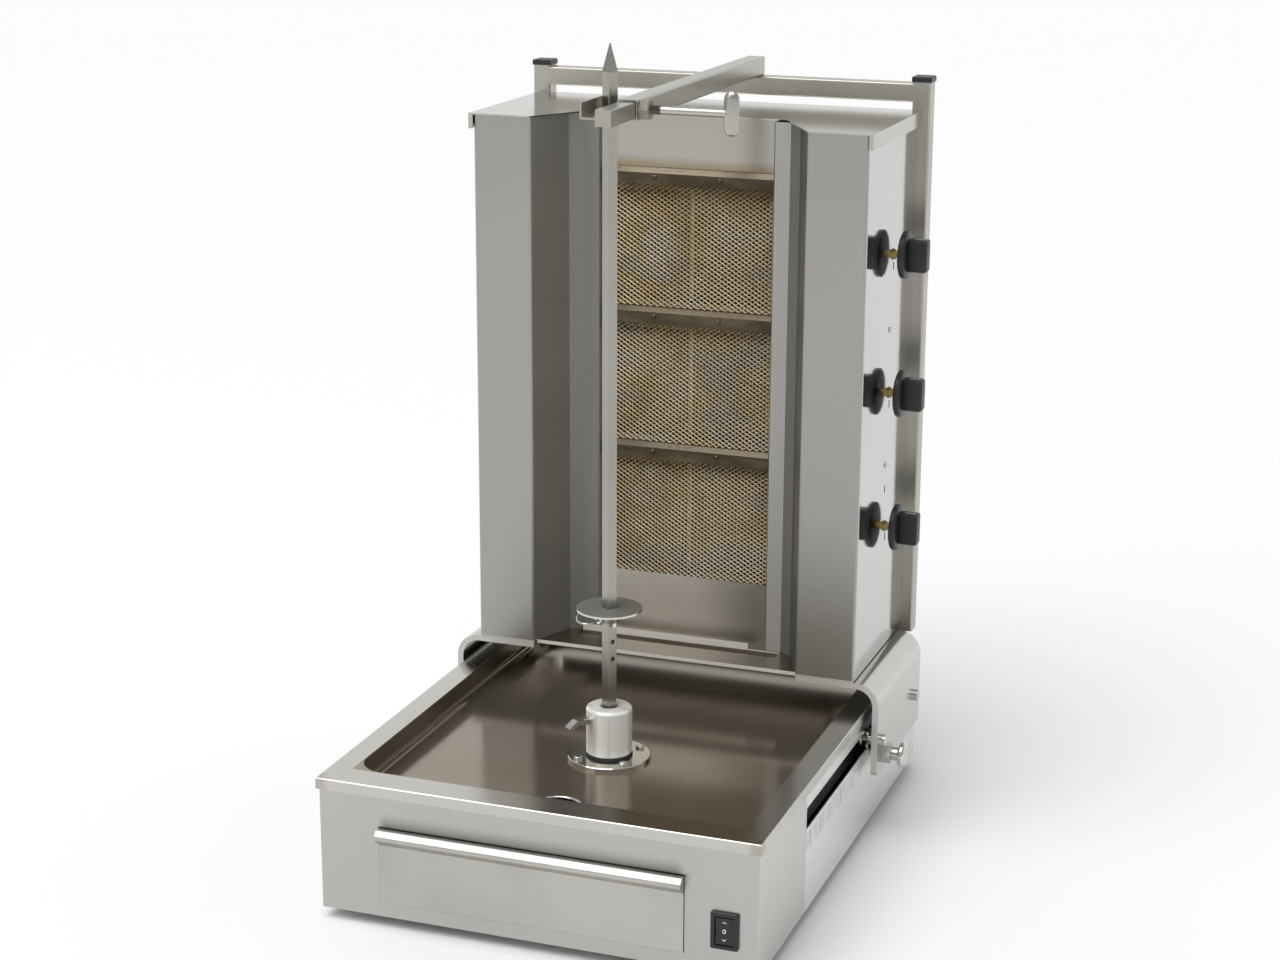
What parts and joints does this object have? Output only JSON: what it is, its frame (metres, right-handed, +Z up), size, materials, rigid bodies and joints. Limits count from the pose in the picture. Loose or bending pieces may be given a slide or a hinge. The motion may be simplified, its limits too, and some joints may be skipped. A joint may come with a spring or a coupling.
{
  "type": "vertical gas rotisserie grill",
  "caption": "Open vertical rotisserie: drip-pan base with drawer and driven skewer, and a sliding tower of infrared gas burners with wire screens, side taps and a top support arm.",
  "frame": {"origin": "on the floor under the middle of the base, midway between the four feet", "axes": "+X to the right seen from the front, +Y to the rear, +Z up"},
  "size_m": [0.534, 0.628, 0.8555],
  "materials": {
    "satin_steel": "satin stainless sheet",
    "polished_steel": "polished stainless",
    "burner_steel": "stainless tinted by heat",
    "tile_ceramic": "porous ceramic tile",
    "black_plastic": "black plastic",
    "black_rubber": "black rubber",
    "plain_brass": "plain brass",
    "drive_paint": "grey paint",
    "dark_steel": "blackened steel"
  },
  "bodies": {
    "base": {"base_front_panel": "satin_steel", "base_side_panel_left": "satin_steel", "base_side_panel_right": "satin_steel", "base_rear_panel": "satin_steel", "base_bottom_plate": "satin_steel", "drip_pan": "polished_steel", "feet": "black_rubber", "spit_flange": "polished_steel", "flange_screws": "polished_steel", "shaft_seal": "black_rubber", "shaft_bearing": "plain_brass", "gearbox": "drive_paint", "motor": "drive_paint", "drawer_runners": "satin_steel", "switch_bezel": "black_plastic", "cable_gland": "black_plastic"},
    "spit": {"hub": "polished_steel", "drive_shaft": "polished_steel"},
    "thumb": {"thumb_screw": "polished_steel"},
    "skewer_bar": {"skewer": "polished_steel"},
    "disc": {"meat_disc": "polished_steel"},
    "pin": {"lock_pin": "polished_steel", "pin_ring": "polished_steel"},
    "drawer": {"drawer_tray": "satin_steel", "drawer_front": "satin_steel"},
    "rocker": {"switch_rocker": "black_plastic"},
    "tower": {"bracket_left": "polished_steel", "bracket_right": "polished_steel", "tower_shell_left": "satin_steel", "tower_shell_right": "satin_steel", "back_panel": "satin_steel", "top_cover": "satin_steel", "tower_floor": "satin_steel", "upper_reflector": "satin_steel", "lower_reflector": "satin_steel", "burner_case_1": "burner_steel", "burner_case_2": "burner_steel", "burner_case_3": "burner_steel", "burner_screen_1": "burner_steel", "burner_screen_2": "burner_steel", "burner_screen_3": "burner_steel", "burner_tiles": "tile_ceramic", "gas_manifold": "plain_brass", "gas_valves": "plain_brass", "injector_pipes": "plain_brass", "rear_frame": "satin_steel", "support_arm": "satin_steel", "post_caps": "black_plastic", "guide_bolts": "polished_steel"},
    "fork_slider": {"fork": "satin_steel"},
    "clamp": {"clamp_screw": "polished_steel"},
    "lock_left": {"lock_screw_left": "dark_steel"},
    "lock_right": {"lock_screw_right": "dark_steel"},
    "spindle_1": {"valve_spindle_1": "plain_brass"},
    "tap_1": {"knob_1": "black_plastic"},
    "spindle_2": {"valve_spindle_2": "plain_brass"},
    "tap_2": {"knob_2": "black_plastic"},
    "spindle_3": {"valve_spindle_3": "plain_brass"},
    "tap_3": {"knob_3": "black_plastic"}
  },
  "joints": [
    {"name": "tower_slide", "type": "slide", "parent": "base", "child": "tower", "axis": [0, -1, 0], "range_m": [0, 0.12]},
    {"name": "spit_spin", "type": "hinge", "parent": "base", "child": "spit", "pos_m": [0, -0.09, 0.15], "axis": [0, 0, 1], "continuous": true},
    {"name": "thumb_turn", "type": "hinge", "parent": "spit", "child": "thumb", "pos_m": [-0.0159, -0.11544, 0.1715], "axis": [0.5299, 0.848, 0], "range_deg": [-180, 180]},
    {"name": "skewer_lift", "type": "slide", "parent": "spit", "child": "skewer_bar", "axis": [0, 0, 1], "range_m": [0, 0.06]},
    {"name": "disc_lift", "type": "slide", "parent": "skewer_bar", "child": "disc", "axis": [0, 0, 1], "range_m": [0, 0.35]},
    {"name": "pin_pull", "type": "slide", "parent": "skewer_bar", "child": "pin", "axis": [-0.848, 0.5299, 0], "range_m": [0, 0.025]},
    {"name": "drawer_slide", "type": "slide", "parent": "base", "child": "drawer", "axis": [0, -1, 0], "range_m": [0, 0.13]},
    {"name": "rocker_turn", "type": "hinge", "parent": "base", "child": "rocker", "pos_m": [0.195, -0.295, 0.0575], "axis": [1, 0, 0], "range_deg": [-12, 12]},
    {"name": "fork_slide", "type": "slide", "parent": "tower", "child": "fork_slider", "axis": [0, 1, 0], "range_m": [0, 0.12]},
    {"name": "clamp_turn", "type": "hinge", "parent": "tower", "child": "clamp", "pos_m": [0.06, -0.106, 0.7965], "axis": [1, 0, 0], "range_deg": [-180, 180]},
    {"name": "lock_turn_left", "type": "hinge", "parent": "tower", "child": "lock_left", "pos_m": [-0.25, 0.104, 0.092], "axis": [-1, 0, 0], "range_deg": [-180, 180]},
    {"name": "lock_turn_right", "type": "hinge", "parent": "tower", "child": "lock_right", "pos_m": [0.25, 0.104, 0.092], "axis": [1, 0, 0], "range_deg": [-180, 180]},
    {"name": "tap_push_1", "type": "slide", "parent": "tower", "child": "spindle_1", "axis": [-1, 0, 0], "range_m": [0, 0.004], "stiffness_N_per_m": 800, "springref_m": -0.004},
    {"name": "tap_turn_1", "type": "hinge", "parent": "spindle_1", "child": "tap_1", "pos_m": [0.225, 0.183, 0.3206], "axis": [1, 0, 0], "range_deg": [0, 210]},
    {"name": "tap_push_2", "type": "slide", "parent": "tower", "child": "spindle_2", "axis": [-1, 0, 0], "range_m": [0, 0.004], "stiffness_N_per_m": 800, "springref_m": -0.004},
    {"name": "tap_turn_2", "type": "hinge", "parent": "spindle_2", "child": "tap_2", "pos_m": [0.225, 0.183, 0.4691], "axis": [1, 0, 0], "range_deg": [0, 210]},
    {"name": "tap_push_3", "type": "slide", "parent": "tower", "child": "spindle_3", "axis": [-1, 0, 0], "range_m": [0, 0.004], "stiffness_N_per_m": 800, "springref_m": -0.004},
    {"name": "tap_turn_3", "type": "hinge", "parent": "spindle_3", "child": "tap_3", "pos_m": [0.225, 0.183, 0.6186], "axis": [1, 0, 0], "range_deg": [0, 210]}
  ],
  "couplings": [
    {"joint": "fork_slide", "follows": "tower_slide", "ratio": 1}
  ]
}
